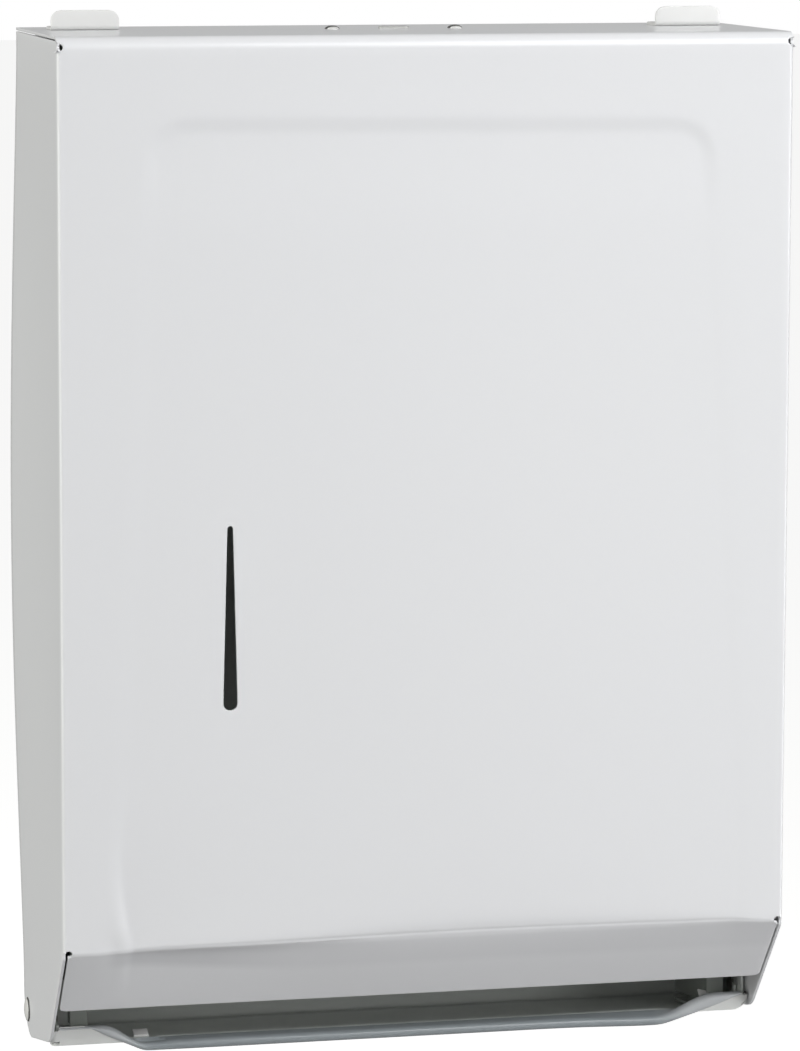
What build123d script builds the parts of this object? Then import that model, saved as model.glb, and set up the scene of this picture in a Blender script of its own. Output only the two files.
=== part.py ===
from build123d import *
import math
import os

# Wall cabinet for folded paper towels: a back pan with a towel tray and two side guides,
# closed by a drop-down sheet-steel cover that turns on two rivets at its lower rear corners
# and is held at the top by a sprung tongue, released by a key through a slot.
# Millimetres. X to the right, Y towards the wall, Z up. The origin is the middle of the four
# wall-screw holes, on the back face of the pan.

# ---- cabinet sizes ----
cabinet_width = 273.0
cabinet_depth = 102.0
front_height = 333.0          # from the front's lower bend to the top face
screw_centre_above_bend = 140.0
sheet = 1.0                   # cover, pan, tray and guides
wall_gap = 0.5                # free edges of the cover to the wall

# ---- cover sizes ----
flange_length = 35.0
flange_tilt = 41.0            # degrees from vertical
cheek_slant_length = 55.0     # lower slanted edge of each side wall
heel_slope = 12.0             # degrees, bottom edge of each side wall
toe_radius = 2.0
heel_radius = 17.0
top_bend_radius = 5.0
lower_bend_radius = 2.5
side_bend_radius = 1.5
seam_gap = 0.8                # between the flange's ends and the side walls
relief_radius = 1.4
recess_depth = 0.9
recess_from_top = 31.5
recess_top_inset = 33.5
recess_bottom_inset = 16.5
recess_above_bend = 3.0
recess_corner_radius = 12.0
recess_taper = 50.0
sight_slot_x = -74.4
sight_slot_top = 156.4        # above the lower bend
sight_slot_bottom = 88.4
sight_slot_top_radius = 1.1
sight_slot_bottom_radius = 2.7

# ---- hinge sizes ----
hinge_from_wall = 11.0
hinge_below_bend = 42.5
hinge_shank_radius = 3.0
hinge_head_radius = 4.6
hinge_head_height = 1.4
hinge_fit = 0.05
washer_thickness = 1.0
washer_radius = 5.4
rivet_fit = 0.05

# ---- latch sizes ----
latch_from_wall = 40.0        # key slot and latch rivets
latch_rivet_pitch = 47.0
latch_rivet_radius = 1.6
latch_rivet_head_radius = 2.65
latch_rivet_head_height = 0.8
key_slot_length = 10.6
key_slot_width = 2.6
latch_sheet = 1.0
latch_ear_width = 12.0
latch_plate_front = 72.0      # from the wall
latch_plate_rear = 27.0
latch_drop = 3.6              # top of the tongue below the cover's top sheet
latch_root_depth = 7.0
tongue_width = 18.0
tongue_gap = 0.3
tongue_tip_from_wall = 12.5
tooth_width = 10.0
tooth_clearance = 0.8
tooth_rise = 2.6
tooth_depth = 6.2
tooth_land = 1.5
keeper_slot_front = 20.0      # from the wall
keeper_slot_rear = 11.5
keeper_slot_side_clearance = 2.0

# ---- pull tab sizes ----
tab_width = 25.5
tab_height = 7.4
tab_thickness = 1.2
tab_from_side = 8.0
tab_from_wall = 34.0
tab_foot_depth = 14.0
tab_corner_radius = 3.6

# ---- pan sizes ----
pan_depth = 60.0
pan_top_gap = 2.0             # under the cover's top sheet
pan_bottom_inset = 1.5
pan_top_flange_depth = 25.0
screw_pitch_x = 203.2
screw_pitch_z = 254.0
screw_hole_radius = 3.0

# ---- tray sizes ----
tray_side_clearance = 0.3
tray_front_below_bend = 43.0  # floor at its front edge
tray_front_from_wall = 62.0
tray_rear_clearance = 0.3
tray_slope = 7.0              # degrees, falling to the wall
tray_end_height = 16.0
tray_rear_radius = 12.0
lip_radius = 2.0
lip_from_wall = 64.0
lip_middle_below_bend = 44.6
lip_end_below_bend = 36.5
lip_end_from_side = 15.5
lip_s_run = 15.0
lip_end_run = 3.0
tray_rivet_from_wall = 50.0
tray_rivet_below_bend = 36.5
end_plate_below_bend = 43.0

# ---- towel guide sizes ----
guide_from_side = 15.75       # inner face of each guide to the cabinet's side
guide_top_below_top = 60.0
guide_depth = 57.0
guide_floor_clearance = 0.3
guide_front_flange = 6.5
guide_foot_width = 8.0
guide_foot_depth = 16.0
guide_flange_clearance = 1.8
guide_rivet_span = 200.0
small_rivet_radius = 1.6
small_rivet_head_radius = 3.0
small_rivet_head_height = 1.2

# ---- places worked out from the sizes ----
bend_z = -screw_centre_above_bend
top_z = bend_z + front_height
front_y = -cabinet_depth
side_x = cabinet_width / 2
inner_x = side_x - sheet
pan_x = inner_x - washer_thickness
hinge_y = -hinge_from_wall
hinge_z = bend_z - hinge_below_bend
tilt = math.radians(flange_tilt)
heel_fall = math.tan(math.radians(heel_slope))
guide_x = side_x - guide_from_side
toe_y = front_y + cheek_slant_length * math.sin(tilt)
toe_z = bend_z - cheek_slant_length * math.cos(tilt)
cover_inner_top = top_z - sheet
latch_y = -latch_from_wall


def bottom_edge_z(y):
    """Height of the side wall's sloping bottom edge at a distance y from the wall."""
    return toe_z - (y - toe_y) * heel_fall


def mushroom(shank_radius, shank_length, head_radius, head_height, tail_height):
    """Rivet profile along +Y of a sketch: domed head below zero, shank, and flat closing head."""
    with BuildSketch() as half:
        with BuildLine():
            dome_top = (0, -head_height)
            dome_edge = (head_radius, 0)
            RadiusArc(dome_top, dome_edge, -dome_radius(head_radius, head_height))
            Polyline(dome_edge, (shank_radius, 0), (shank_radius, shank_length))
            if tail_height > 0:
                Polyline(
                    (shank_radius, shank_length),
                    (head_radius, shank_length),
                    (head_radius, shank_length + tail_height),
                    (0, shank_length + tail_height),
                    dome_top,
                )
            else:
                Polyline((shank_radius, shank_length), (0, shank_length), dome_top)
        make_face()
    return half.sketch


def dome_radius(half_width, height):
    """Radius of the arc that rises by height over half_width."""
    return (half_width**2 + height**2) / (2 * height)


os.makedirs("parts", exist_ok=True)


# ---- cover shell ----
flange_end_y = front_y + flange_length * math.sin(tilt)
flange_end_z = bend_z - flange_length * math.cos(tilt)
inward_y = math.cos(tilt)     # unit step from the flange's outer face to its inner one
inward_z = math.sin(tilt)
inner_bend_y = front_y + sheet
inner_bend_z = bend_z + sheet * math.tan(tilt / 2)
past = 30.0                   # how far cutting shapes reach past what they cut

with BuildPart() as cover_shell:
    with BuildSketch(Plane.YZ.offset(-side_x)) as cheek:
        with BuildLine():
            Polyline(
                (-wall_gap, top_z),
                (front_y, top_z),
                (front_y, bend_z),
                (toe_y, toe_z),
                (-wall_gap, bottom_edge_z(-wall_gap)),
                close=True,
            )
        make_face()
        fillet(cheek.vertices().sort_by_distance((front_y, top_z))[0], top_bend_radius)
        fillet(cheek.vertices().sort_by_distance((front_y, bend_z))[0], lower_bend_radius)
        fillet(cheek.vertices().sort_by_distance((toe_y, toe_z))[0], toe_radius)
        fillet(cheek.vertices().sort_by_distance((0, toe_z))[0], heel_radius)
    extrude(amount=cabinet_width)
    front_corner_edges = (
        cover_shell.edges()
        .filter_by(Axis.Z)
        .filter_by(lambda e: abs(e.center().X) > side_x - 1 and e.center().Y < front_y + 1)
    )
    fillet(front_corner_edges, side_bend_radius)

    # the hollow, open to the wall and below the flange's lower edge
    with BuildSketch(Plane.YZ.offset(-inner_x)) as hollow:
        with BuildLine():
            Polyline(
                (past, cover_inner_top),
                (inner_bend_y, cover_inner_top),
                (inner_bend_y, inner_bend_z),
                (flange_end_y + sheet * inward_y, flange_end_z + sheet * inward_z),
                (flange_end_y - past * inward_y, flange_end_z - past * inward_z),
                (front_y - past, toe_z - past),
                (past, toe_z - past),
                close=True,
            )
        make_face()
        inner_corner = (inner_bend_y, cover_inner_top)
        fillet(hollow.vertices().sort_by_distance(inner_corner)[0], top_bend_radius - sheet)
    extrude(amount=2 * inner_x, mode=Mode.SUBTRACT)

    # the shallow panel pressed into the front, flaring towards the bottom
    press_plane = Plane(origin=(0, front_y, 0), x_dir=(-1, 0, 0), z_dir=(0, 1, 0))
    for start, mode in ((sheet, Mode.ADD), (0, Mode.SUBTRACT)):
        with BuildSketch(press_plane.offset(start)) as recess:
            with BuildLine():
                Polyline(
                    (-side_x + recess_top_inset, top_z - recess_from_top),
                    (side_x - recess_top_inset, top_z - recess_from_top),
                    (side_x - recess_bottom_inset, bend_z + recess_above_bend),
                    (-side_x + recess_bottom_inset, bend_z + recess_above_bend),
                    close=True,
                )
            make_face()
            fillet(recess.vertices().group_by(Axis.Y)[-1], recess_corner_radius)
        extrude(amount=recess_depth, taper=recess_taper, mode=mode)

    # the tapered slot that shows how many towels are left
    with BuildSketch(Plane.XZ.offset(cabinet_depth + 1)) as sight_slot:
        slot_top_centre = bend_z + sight_slot_top - sight_slot_top_radius
        slot_bottom_centre = bend_z + sight_slot_bottom + sight_slot_bottom_radius
        with Locations((sight_slot_x, slot_top_centre)):
            Circle(sight_slot_top_radius)
        with Locations((sight_slot_x, slot_bottom_centre)):
            Circle(sight_slot_bottom_radius)
        make_hull()
    extrude(amount=-(sheet + recess_depth + 3), mode=Mode.SUBTRACT)

    # key slot and latch rivet holes in the top
    with BuildSketch(Plane.XY.offset(top_z + 1)):
        with Locations((0, latch_y)):
            SlotOverall(key_slot_length, key_slot_width)
        with Locations((-latch_rivet_pitch / 2, latch_y), (latch_rivet_pitch / 2, latch_y)):
            Circle(latch_rivet_radius + rivet_fit)
    extrude(amount=-(sheet + 2), mode=Mode.SUBTRACT)

    # seams beside the flange, relief holes at the bends, and hinge holes
    for side in (-1, 1):
        seam_start = min(side * (inner_x - seam_gap), side * inner_x)
        with BuildSketch(Plane.YZ.offset(seam_start)):
            with BuildLine():
                Polyline(
                    (front_y - 1, bend_z),
                    (inner_bend_y + inward_y, inner_bend_z + inward_z),
                    (flange_end_y + 2 * inward_y, flange_end_z + 2 * inward_z),
                    (flange_end_y - 3 * inward_y, flange_end_z - 3 * inward_z),
                    close=True,
                )
            make_face()
        extrude(amount=seam_gap, mode=Mode.SUBTRACT)
        relief_x = side * (side_x - relief_radius - 0.3)
        for relief_z in (top_z - relief_radius - 1.0, bend_z):
            with BuildSketch(Plane.XZ.offset(cabinet_depth + 1)):
                with Locations((relief_x, relief_z)):
                    Circle(relief_radius)
            extrude(amount=-(top_bend_radius + 1), mode=Mode.SUBTRACT)
    with BuildSketch(Plane.YZ.offset(-side_x - 1)):
        with Locations((hinge_y, hinge_z)):
            Circle(hinge_shank_radius + hinge_fit)
    extrude(amount=cabinet_width + 2, mode=Mode.SUBTRACT)

cover_shell.part.label = "cover_shell"
export_step(cover_shell.part, "parts/cover_shell.step")


# ---- pull tabs on the cover's top ----
def pull_tab(side, name):
    """L-shaped finger tab: an upright plate with a foot that runs towards the wall."""
    outer = side * (side_x - tab_from_side)
    centre_x = outer - side * tab_width / 2
    with BuildPart() as tab:
        with BuildSketch(Plane.XZ.offset(tab_from_wall + tab_thickness)) as upright:
            with Locations((centre_x, top_z)):
                Rectangle(tab_width, tab_height, align=(Align.CENTER, Align.MIN))
            fillet(upright.vertices().group_by(Axis.Y)[-1], tab_corner_radius)
        extrude(amount=-tab_thickness)
        with BuildSketch(Plane.XY.offset(top_z)) as foot:
            with Locations((centre_x, -tab_from_wall)):
                Rectangle(tab_width, tab_foot_depth, align=(Align.CENTER, Align.MIN))
            fillet(foot.vertices().group_by(Axis.Y)[-1], tab_corner_radius)
        extrude(amount=tab_thickness)
        heel = (
            tab.edges()
            .filter_by(Axis.X)
            .filter_by(
                lambda e: abs(e.center().Z - top_z) < 0.01
                and abs(e.center().Y + tab_from_wall + tab_thickness) < 0.01
            )
        )
        fillet(heel, tab_thickness * 0.6)
    tab.part.label = name
    export_step(tab.part, f"parts/{name}.step")


pull_tab(-1, "pull_tab_left")
pull_tab(1, "pull_tab_right")


# ---- latch: riveted plate with a dropped middle, and the tongue cut from it ----
tongue_top = cover_inner_top - latch_drop
tongue_bottom = tongue_top - latch_sheet
plate_front_y = -latch_plate_front
plate_depth = latch_plate_front - latch_plate_rear
root_y = plate_front_y + latch_root_depth
ear_outer = latch_rivet_pitch / 2 + latch_ear_width / 2
ear_inner = latch_rivet_pitch / 2 - latch_ear_width / 2

with BuildPart() as latch_plate:
    with BuildSketch(Plane.XZ.offset(-plate_front_y)):
        with BuildLine():
            Polyline(
                (-ear_outer, cover_inner_top),
                (-ear_inner, cover_inner_top),
                (-ear_inner, tongue_top),
                (ear_inner, tongue_top),
                (ear_inner, cover_inner_top),
                (ear_outer, cover_inner_top),
                (ear_outer, cover_inner_top - latch_sheet),
                (ear_inner + latch_sheet, cover_inner_top - latch_sheet),
                (ear_inner + latch_sheet, tongue_bottom),
                (-ear_inner - latch_sheet, tongue_bottom),
                (-ear_inner - latch_sheet, cover_inner_top - latch_sheet),
                (-ear_outer, cover_inner_top - latch_sheet),
                close=True,
            )
        make_face()
    extrude(amount=-plate_depth)
    with BuildSketch(Plane.XY.offset(tongue_bottom - 1)):
        with Locations((0, root_y)):
            Rectangle(
                tongue_width + 2 * tongue_gap,
                plate_depth,
                align=(Align.CENTER, Align.MIN),
            )
    extrude(amount=latch_sheet + 2, mode=Mode.SUBTRACT)
    with BuildSketch(Plane.XY.offset(top_z)):
        with Locations((-latch_rivet_pitch / 2, latch_y), (latch_rivet_pitch / 2, latch_y)):
            Circle(latch_rivet_radius + rivet_fit)
    extrude(amount=-(sheet + latch_sheet + 1), mode=Mode.SUBTRACT)
latch_plate.part.label = "latch_plate"
export_step(latch_plate.part, "parts/latch_plate.step")

tooth_front_y = -keeper_slot_front + tooth_clearance
with BuildPart() as latch_tongue:
    with BuildSketch(Plane.XY.offset(tongue_bottom)) as blade:
        blade_length = -tongue_tip_from_wall - root_y - tongue_gap
        with Locations((0, root_y + tongue_gap)):
            Rectangle(tongue_width, blade_length, align=(Align.CENTER, Align.MIN))
        fillet(blade.vertices().group_by(Axis.Y)[-1], 3)
    extrude(amount=latch_sheet)
    with BuildSketch(Plane.YZ.offset(-tooth_width / 2)):
        with BuildLine():
            Polyline(
                (tooth_front_y, tongue_bottom + latch_sheet / 2),
                (tooth_front_y, tongue_top + tooth_rise),
                (tooth_front_y + tooth_land, tongue_top + tooth_rise),
                (tooth_front_y + tooth_depth, tongue_bottom + latch_sheet / 2),
                close=True,
            )
        make_face()
    extrude(amount=tooth_width)
latch_tongue.part.label = "latch_tongue"
export_step(latch_tongue.part, "parts/latch_tongue.step")

with BuildPart() as latch_rivets:
    for x in (-latch_rivet_pitch / 2, latch_rivet_pitch / 2):
        rivet_plane = Plane(origin=(x, latch_y, top_z), x_dir=(1, 0, 0), z_dir=(0, 1, 0))
        with BuildSketch(rivet_plane):
            add(
                mushroom(
                    latch_rivet_radius,
                    sheet + latch_sheet,
                    latch_rivet_head_radius,
                    latch_rivet_head_height,
                    latch_rivet_head_height,
                )
            )
        revolve(axis=Axis((x, latch_y, 0), (0, 0, 1)))
latch_rivets.part.label = "latch_rivets"
export_step(latch_rivets.part, "parts/latch_rivets.step")


# ---- back pan: wall plate, side flanges and the top flange with the keeper slot ----
pan_top = cover_inner_top - pan_top_gap
pan_front_y = -pan_depth
tray_fall = math.tan(math.radians(tray_slope))


def floor_z(y):
    """Top of the tray's sloping floor at a distance y from the wall."""
    return bend_z - tray_front_below_bend - (y + tray_front_from_wall) * tray_fall


with BuildPart() as back_pan:
    with BuildSketch(Plane.YZ.offset(-pan_x)) as pan_cheek:
        with BuildLine():
            Polyline(
                (0, pan_top),
                (pan_front_y, pan_top),
                (pan_front_y, bottom_edge_z(pan_front_y) + pan_bottom_inset),
                (0, bottom_edge_z(0) + pan_bottom_inset),
                close=True,
            )
        make_face()
        fillet(pan_cheek.vertices().sort_by_distance((pan_front_y, pan_top))[0], heel_radius)
        pan_heel = pan_cheek.vertices().sort_by_distance((0, bottom_edge_z(0)))[0]
        fillet(pan_heel, heel_radius - pan_bottom_inset)
    extrude(amount=2 * pan_x)
    with BuildSketch(Plane.YZ.offset(-pan_x + sheet)):
        with BuildLine():
            Polyline(
                (-sheet, pan_top - sheet),
                (-pan_top_flange_depth, pan_top - sheet),
                (-pan_top_flange_depth, pan_top + past),
                (-pan_depth - past, pan_top + past),
                (-pan_depth - past, bend_z - pan_depth - past),
                (-sheet, bend_z - pan_depth - past),
                close=True,
            )
        make_face()
    extrude(amount=2 * (pan_x - sheet), mode=Mode.SUBTRACT)
    with BuildSketch(Plane.XY.offset(pan_top + 1)):
        with Locations((0, -(keeper_slot_front + keeper_slot_rear) / 2)):
            Rectangle(
                tooth_width + 2 * keeper_slot_side_clearance,
                keeper_slot_front - keeper_slot_rear,
            )
    extrude(amount=-(sheet + 2), mode=Mode.SUBTRACT)
    with BuildSketch(Plane.XZ.offset(-1)):
        with GridLocations(screw_pitch_x, screw_pitch_z, 2, 2):
            Circle(screw_hole_radius)
    extrude(amount=sheet + 2, mode=Mode.SUBTRACT)
    guide_flange_x = (guide_x + pan_x) / 2
    guide_middle_z = (floor_z(-guide_depth / 2) + pan_top - guide_top_below_top) / 2
    with BuildSketch(Plane.XZ.offset(-1)):
        with Locations((0, guide_middle_z)):
            with GridLocations(2 * guide_flange_x, guide_rivet_span, 2, 2):
                Circle(small_rivet_radius + rivet_fit)
    extrude(amount=sheet + 2, mode=Mode.SUBTRACT)
    with BuildSketch(Plane.YZ.offset(-pan_x - 1)):
        with Locations((hinge_y, hinge_z)):
            Circle(hinge_shank_radius + hinge_fit)
        with Locations((-tray_rivet_from_wall, bend_z - tray_rivet_below_bend)):
            Circle(small_rivet_radius + rivet_fit)
    extrude(amount=2 * pan_x + 2, mode=Mode.SUBTRACT)
back_pan.part.label = "back_pan"
export_step(back_pan.part, "parts/back_pan.step")


# ---- towel tray: sloping floor, upturned ends and rear, and a rolled front edge ----
tray_x = pan_x - sheet - tray_side_clearance
tray_rear_y = -sheet - tray_rear_clearance
tray_front_y = -tray_front_from_wall
lip_y = -lip_from_wall
lip_low_z = bend_z - lip_middle_below_bend
lip_high_z = bend_z - lip_end_below_bend
lip_end_x = side_x - lip_end_from_side
s_outer_x = lip_end_x - lip_end_run
s_middle_x = s_outer_x - lip_s_run / 2
s_middle_z = (lip_high_z + lip_low_z) / 2
lip_straight_half = s_outer_x - lip_s_run

with BuildPart() as towel_tray:
    with BuildSketch(Plane.YZ.offset(-tray_x)) as floor:
        with BuildLine():
            Polyline(
                (lip_y, floor_z(lip_y)),
                (tray_rear_y, floor_z(tray_rear_y)),
                (tray_rear_y, floor_z(tray_rear_y) + tray_end_height),
                (tray_rear_y - sheet, floor_z(tray_rear_y) + tray_end_height),
                (tray_rear_y - sheet, floor_z(tray_rear_y - sheet) + sheet),
                (lip_y, floor_z(lip_y) + sheet),
                close=True,
            )
        make_face()
        outer_heel = (tray_rear_y, floor_z(tray_rear_y))
        inner_heel = (tray_rear_y - sheet, floor_z(tray_rear_y - sheet) + sheet)
        fillet(floor.vertices().sort_by_distance(outer_heel)[0], tray_rear_radius)
        fillet(floor.vertices().sort_by_distance(inner_heel)[0], tray_rear_radius - sheet)
    extrude(amount=2 * tray_x)
    for start in (-tray_x, tray_x - sheet):
        with BuildSketch(Plane.YZ.offset(start)) as end_flange:
            with BuildLine():
                Polyline(
                    (lip_y, floor_z(lip_y)),
                    (tray_rear_y, floor_z(tray_rear_y)),
                    (tray_rear_y, floor_z(tray_rear_y) + tray_end_height),
                    (lip_y, lip_high_z),
                    close=True,
                )
            make_face()
            fillet(end_flange.vertices().sort_by_distance(outer_heel)[0], tray_rear_radius)
        extrude(amount=sheet)
    # rolled edge: high at both ends, dipping by two arcs to a long low middle
    with BuildLine() as lip_path:
        Line((-lip_end_x, lip_y, lip_high_z), (-s_outer_x, lip_y, lip_high_z))
        TangentArc(
            (-s_outer_x, lip_y, lip_high_z), (-s_middle_x, lip_y, s_middle_z), tangent=(1, 0, 0)
        )
        TangentArc(
            (-lip_straight_half, lip_y, lip_low_z),
            (-s_middle_x, lip_y, s_middle_z),
            tangent=(-1, 0, 0),
        )
        Line((-lip_straight_half, lip_y, lip_low_z), (lip_straight_half, lip_y, lip_low_z))
        TangentArc(
            (lip_straight_half, lip_y, lip_low_z), (s_middle_x, lip_y, s_middle_z), tangent=(1, 0, 0)
        )
        TangentArc(
            (s_outer_x, lip_y, lip_high_z), (s_middle_x, lip_y, s_middle_z), tangent=(-1, 0, 0)
        )
        Line((s_outer_x, lip_y, lip_high_z), (lip_end_x, lip_y, lip_high_z))
    with BuildSketch(Plane(origin=(-lip_end_x, lip_y, lip_high_z), z_dir=(1, 0, 0))):
        Circle(lip_radius)
    sweep(path=lip_path.wires()[0])
    # flat end plates below the raised ends of the rolled edge
    for side in (-1, 1):
        with BuildSketch(Plane.XZ.offset(lip_from_wall)):
            with BuildLine():
                Polyline(
                    (side * tray_x, lip_high_z),
                    (side * s_outer_x, lip_high_z),
                    (side * s_middle_x, s_middle_z),
                    (side * lip_straight_half, bend_z - end_plate_below_bend),
                    (side * tray_x, bend_z - end_plate_below_bend),
                    close=True,
                )
            make_face()
        extrude(amount=sheet)
    with BuildSketch(Plane.YZ.offset(-tray_x - 1)):
        with Locations((hinge_y, hinge_z)):
            Circle(hinge_shank_radius + hinge_fit)
        with Locations((-tray_rivet_from_wall, bend_z - tray_rivet_below_bend)):
            Circle(small_rivet_radius + rivet_fit)
    extrude(amount=2 * tray_x + 2, mode=Mode.SUBTRACT)
towel_tray.part.label = "towel_tray"
export_step(towel_tray.part, "parts/towel_tray.step")


# ---- towel guides ----
guide_front_y = -guide_depth
guide_rear_y = -sheet
guide_top_z = pan_top - guide_top_below_top
guide_outer_x = pan_x - sheet - guide_flange_clearance
rear_lift = tray_rear_radius - tray_rear_y + sheet


def towel_guide(side, name):
    """Channel that opens to the side: rear flange on the pan, web, front flange and a foot."""
    with BuildPart() as guide:
        with BuildSketch(Plane.XY.offset(guide_top_z)):
            with BuildLine():
                Polyline(
                    (side * guide_outer_x, guide_rear_y),
                    (side * guide_x, guide_rear_y),
                    (side * guide_x, guide_front_y),
                    (side * (guide_x + guide_front_flange), guide_front_y),
                    (side * (guide_x + guide_front_flange), guide_front_y + sheet),
                    (side * (guide_x + sheet), guide_front_y + sheet),
                    (side * (guide_x + sheet), guide_rear_y - sheet),
                    (side * guide_outer_x, guide_rear_y - sheet),
                    close=True,
                )
            make_face()
        extrude(amount=-(guide_top_z - floor_z(guide_rear_y) + past))
        with BuildSketch(Plane.YZ.offset(side * side_x)):
            with BuildLine():
                floor_lift = sheet + guide_floor_clearance
                Polyline(
                    (guide_front_y - 1, floor_z(guide_front_y - 1) + floor_lift),
                    (-rear_lift, floor_z(-rear_lift) + floor_lift),
                    (-rear_lift, floor_z(tray_rear_y) + tray_end_height + sheet),
                    (past, floor_z(tray_rear_y) + tray_end_height + sheet),
                    (past, bend_z - pan_depth - past),
                    (guide_front_y - 1, bend_z - pan_depth - past),
                    close=True,
                )
            make_face()
        extrude(amount=side_x, dir=(-side, 0, 0), mode=Mode.SUBTRACT)
        with BuildSketch(Plane.YZ.offset(side * (guide_x - guide_foot_width))):
            with BuildLine():
                foot_rear_y = guide_front_y + guide_foot_depth
                Polyline(
                    (guide_front_y, floor_z(guide_front_y) + floor_lift),
                    (foot_rear_y, floor_z(foot_rear_y) + floor_lift),
                    (foot_rear_y, floor_z(foot_rear_y) + floor_lift + sheet),
                    (guide_front_y, floor_z(guide_front_y) + floor_lift + sheet),
                    close=True,
                )
            make_face()
        extrude(amount=guide_foot_width + sheet, dir=(side, 0, 0))
        with BuildSketch(Plane.XZ.offset(-1)):
            with Locations((side * guide_flange_x, guide_middle_z)):
                with GridLocations(1, guide_rivet_span, 1, 2):
                    Circle(small_rivet_radius + rivet_fit)
        extrude(amount=2 * sheet + 2, mode=Mode.SUBTRACT)
    guide.part.label = name
    export_step(guide.part, f"parts/{name}.step")


towel_guide(-1, "towel_guide_left")
towel_guide(1, "towel_guide_right")


# ---- rivets of the cabinet ----
with BuildPart() as guide_rivets:
    for x in (-guide_flange_x, guide_flange_x):
        for z in (guide_middle_z - guide_rivet_span / 2, guide_middle_z + guide_rivet_span / 2):
            rivet_plane = Plane(origin=(x, -2 * sheet, z), x_dir=(1, 0, 0), z_dir=(0, 0, 1))
            with BuildSketch(rivet_plane):
                add(
                    mushroom(
                        small_rivet_radius,
                        2 * sheet,
                        small_rivet_head_radius,
                        small_rivet_head_height,
                        0,
                    )
                )
            revolve(axis=Axis((x, 0, z), (0, 1, 0)))
guide_rivets.part.label = "guide_rivets"
export_step(guide_rivets.part, "parts/guide_rivets.step")

tray_grip = sheet + tray_side_clearance + sheet
with BuildPart() as tray_rivets:
    for side in (-1, 1):
        start = (
            side * (pan_x - tray_grip),
            -tray_rivet_from_wall,
            bend_z - tray_rivet_below_bend,
        )
        rivet_plane = Plane(origin=start, x_dir=(0, 0, side), z_dir=(0, 1, 0))
        with BuildSketch(rivet_plane):
            add(
                mushroom(
                    small_rivet_radius,
                    tray_grip,
                    small_rivet_head_radius,
                    small_rivet_head_height,
                    0,
                )
            )
        revolve(axis=Axis(start, (1, 0, 0)))
tray_rivets.part.label = "tray_rivets"
export_step(tray_rivets.part, "parts/tray_rivets.step")


# ---- hinge rivets and their spacing washers ----
def hinge_rivet(side, name):
    """Large-headed rivet through the cover's side wall, a washer, the pan and the tray end."""
    start = (side * side_x, hinge_y, hinge_z)
    shank = sheet + washer_thickness + tray_grip
    with BuildPart() as rivet:
        with BuildSketch(Plane(origin=start, x_dir=(0, 0, -side), z_dir=(0, 1, 0))):
            add(
                mushroom(
                    hinge_shank_radius,
                    shank,
                    hinge_head_radius,
                    hinge_head_height,
                    hinge_head_height,
                )
            )
        revolve(axis=Axis(start, (1, 0, 0)))
    rivet.part.label = name
    export_step(rivet.part, f"parts/{name}.step")


def hinge_washer(side, name):
    """Flat washer that keeps the cover's side wall off the pan."""
    with BuildPart() as washer:
        with BuildSketch(Plane.YZ.offset(side * pan_x)):
            with Locations((hinge_y, hinge_z)):
                Circle(washer_radius)
                Circle(hinge_shank_radius + hinge_fit, mode=Mode.SUBTRACT)
        extrude(amount=washer_thickness, dir=(side, 0, 0))
    washer.part.label = name
    export_step(washer.part, f"parts/{name}.step")


hinge_rivet(-1, "hinge_rivet_left")
hinge_rivet(1, "hinge_rivet_right")
hinge_washer(-1, "hinge_washer_left")
hinge_washer(1, "hinge_washer_right")
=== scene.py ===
import math

import bmesh
import bpy
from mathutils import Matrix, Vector


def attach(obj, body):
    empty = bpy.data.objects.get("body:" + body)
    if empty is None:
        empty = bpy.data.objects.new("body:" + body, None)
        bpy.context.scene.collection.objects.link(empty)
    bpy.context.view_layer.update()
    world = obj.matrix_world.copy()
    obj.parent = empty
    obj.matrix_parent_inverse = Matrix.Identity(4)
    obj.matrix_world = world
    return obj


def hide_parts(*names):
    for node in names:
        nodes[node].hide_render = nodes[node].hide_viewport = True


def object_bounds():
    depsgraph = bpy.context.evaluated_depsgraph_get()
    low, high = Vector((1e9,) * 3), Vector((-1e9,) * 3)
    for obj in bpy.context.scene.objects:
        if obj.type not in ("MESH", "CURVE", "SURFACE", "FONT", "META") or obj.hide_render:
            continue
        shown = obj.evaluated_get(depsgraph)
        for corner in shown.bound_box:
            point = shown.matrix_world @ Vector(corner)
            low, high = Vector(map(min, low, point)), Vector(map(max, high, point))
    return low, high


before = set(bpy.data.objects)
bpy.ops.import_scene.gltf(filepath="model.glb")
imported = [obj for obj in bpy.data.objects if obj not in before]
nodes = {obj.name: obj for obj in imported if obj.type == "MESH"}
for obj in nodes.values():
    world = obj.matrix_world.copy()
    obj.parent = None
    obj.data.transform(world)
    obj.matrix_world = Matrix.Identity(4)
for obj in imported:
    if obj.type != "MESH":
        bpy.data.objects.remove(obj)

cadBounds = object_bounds()
mm = 0.001
print("frame loaded:", len(nodes), "nodes")


# small helpers
def smoothStep(t):
    t = max(0.0, min(1.0, t))
    return t * t * (3 - 2 * t)


def fade(value, start, run):  # 0 at the start, 1 a run further; a negative run goes the other way
    return smoothStep((value - start) / run)


def bump(t, centre, width):  # bell curve, 1 at the centre
    return math.exp(-(((t - centre) / width) ** 2))


def stretch(*runs):  # (start, end, step) runs joined into one list of grid lines
    lines = []
    for start, end, step in runs:
        count = max(1, round(abs(end - start) / step))
        lines += [start + (end - start) * i / count for i in range(count)]
    return lines + [runs[-1][1]]


def toMetres(bm):
    bmesh.ops.scale(bm, vec=(mm, mm, mm), verts=bm.verts)


def turnOutward(bm, place, outward):  # the face nearest to the place decides for the whole sheet
    bmesh.ops.recalc_face_normals(bm, faces=bm.faces)
    nearest = min(bm.faces, key=lambda f: (f.calc_center_median() - Vector(place)).length)
    if nearest.normal.dot(Vector(outward)) < 0:
        bmesh.ops.reverse_faces(bm, faces=bm.faces)


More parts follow.
